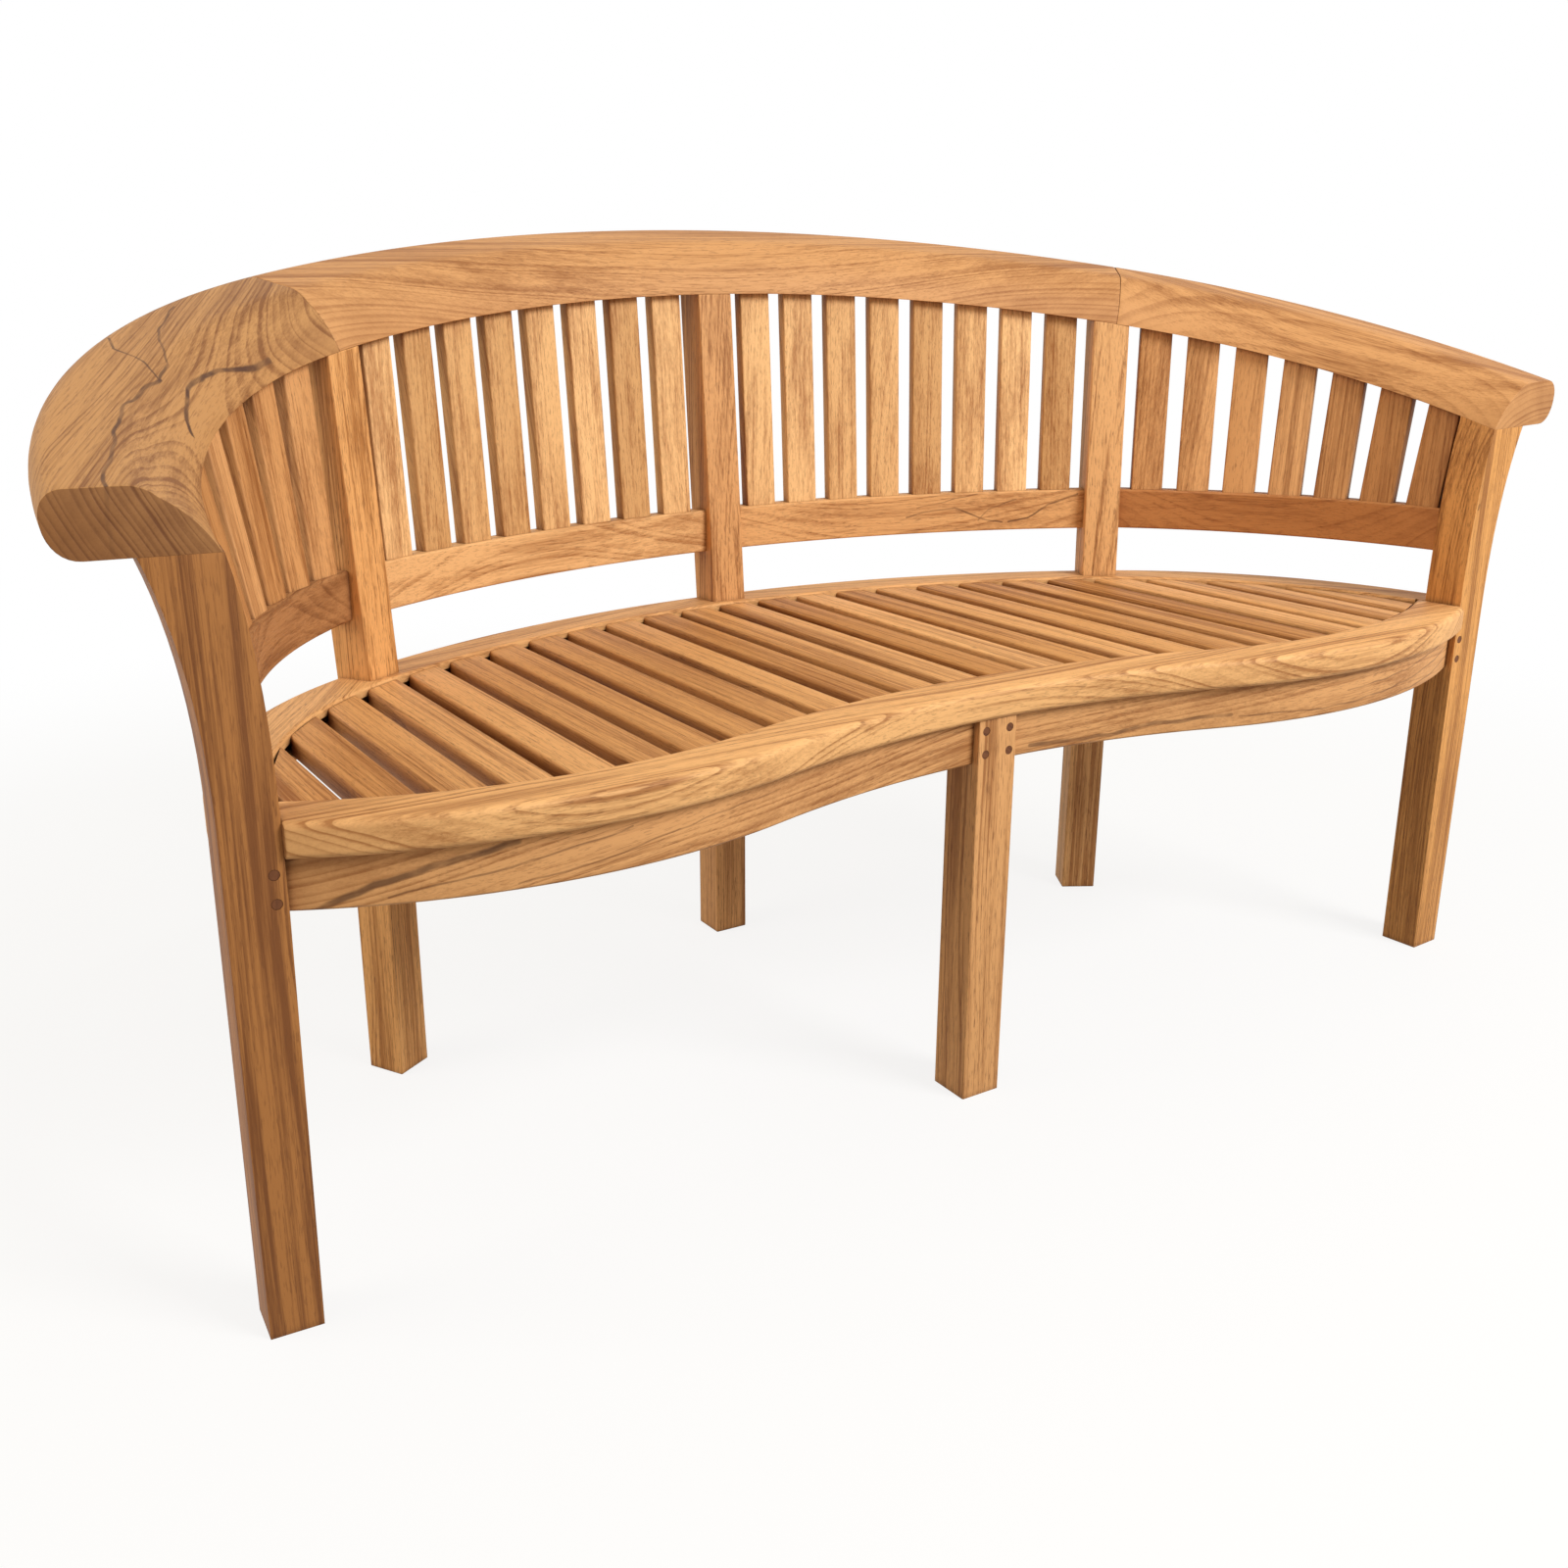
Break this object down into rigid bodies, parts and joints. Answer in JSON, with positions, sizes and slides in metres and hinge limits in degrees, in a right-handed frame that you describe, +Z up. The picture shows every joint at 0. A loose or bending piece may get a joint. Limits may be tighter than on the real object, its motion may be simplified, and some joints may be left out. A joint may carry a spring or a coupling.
{
  "type": "curved garden bench",
  "caption": "Curved slatted wooden garden bench whose wide top rail sweeps down from the back into the two arms, over a seat with a wavy front edge",
  "frame": {"origin": "on the ground under the middle of the whole bench's bounding box", "axes": "+X along the bench, to the sitter's left; -Y the way the sitter faces; +Z up"},
  "size_m": [1.702, 0.7202, 0.8914],
  "materials": {
    "top_rail": "sanded bare teak, matt",
    "posts": "sanded bare teak, matt",
    "seat_frame": "sanded bare teak, matt",
    "lower_rails": "sanded bare teak, matt",
    "back_slats": "sanded bare teak, matt",
    "seat_slats": "sanded bare teak, matt",
    "pegs": "sanded bare teak, matt"
  },
  "bodies": {
    "root": {"apron_pegs": "pegs", "back_centre_post": "posts", "back_left_post": "posts", "back_right_post": "posts", "back_slats_arm_left": "back_slats", "back_slats_arm_right": "back_slats", "back_slats_back_left": "back_slats", "back_slats_back_right": "back_slats", "front_apron_left": "seat_frame", "front_apron_right": "seat_frame", "front_board": "seat_frame", "front_centre_leg": "posts", "front_left_post": "posts", "front_right_post": "posts", "lower_rail_arm_left": "lower_rails", "lower_rail_arm_right": "lower_rails", "lower_rail_back_left": "lower_rails", "lower_rail_back_right": "lower_rails", "rail_seam_dowels": "pegs", "seat_bearer_centre": "seat_frame", "seat_bearer_left": "seat_frame", "seat_bearer_right": "seat_frame", "seat_rail_arm_left": "seat_frame", "seat_rail_arm_right": "seat_frame", "seat_rail_back_left": "seat_frame", "seat_rail_back_right": "seat_frame", "seat_slat_01": "seat_slats", "seat_slat_02": "seat_slats", "seat_slat_03": "seat_slats", "seat_slat_04": "seat_slats", "seat_slat_05": "seat_slats", "seat_slat_06": "seat_slats", "seat_slat_07": "seat_slats", "seat_slat_08": "seat_slats", "seat_slat_09": "seat_slats", "seat_slat_10": "seat_slats", "seat_slat_11": "seat_slats", "seat_slat_12": "seat_slats", "seat_slat_13": "seat_slats", "seat_slat_14": "seat_slats", "seat_slat_15": "seat_slats", "seat_slat_16": "seat_slats", "seat_slat_17": "seat_slats", "seat_slat_18": "seat_slats", "seat_slat_19": "seat_slats", "seat_slat_20": "seat_slats", "seat_slat_21": "seat_slats", "seat_slat_22": "seat_slats", "seat_slat_23": "seat_slats", "seat_slat_24": "seat_slats", "seat_slat_25": "seat_slats", "top_rail_centre": "top_rail", "top_rail_left_arm": "top_rail", "top_rail_right_arm": "top_rail"}
  },
  "joints": []
}
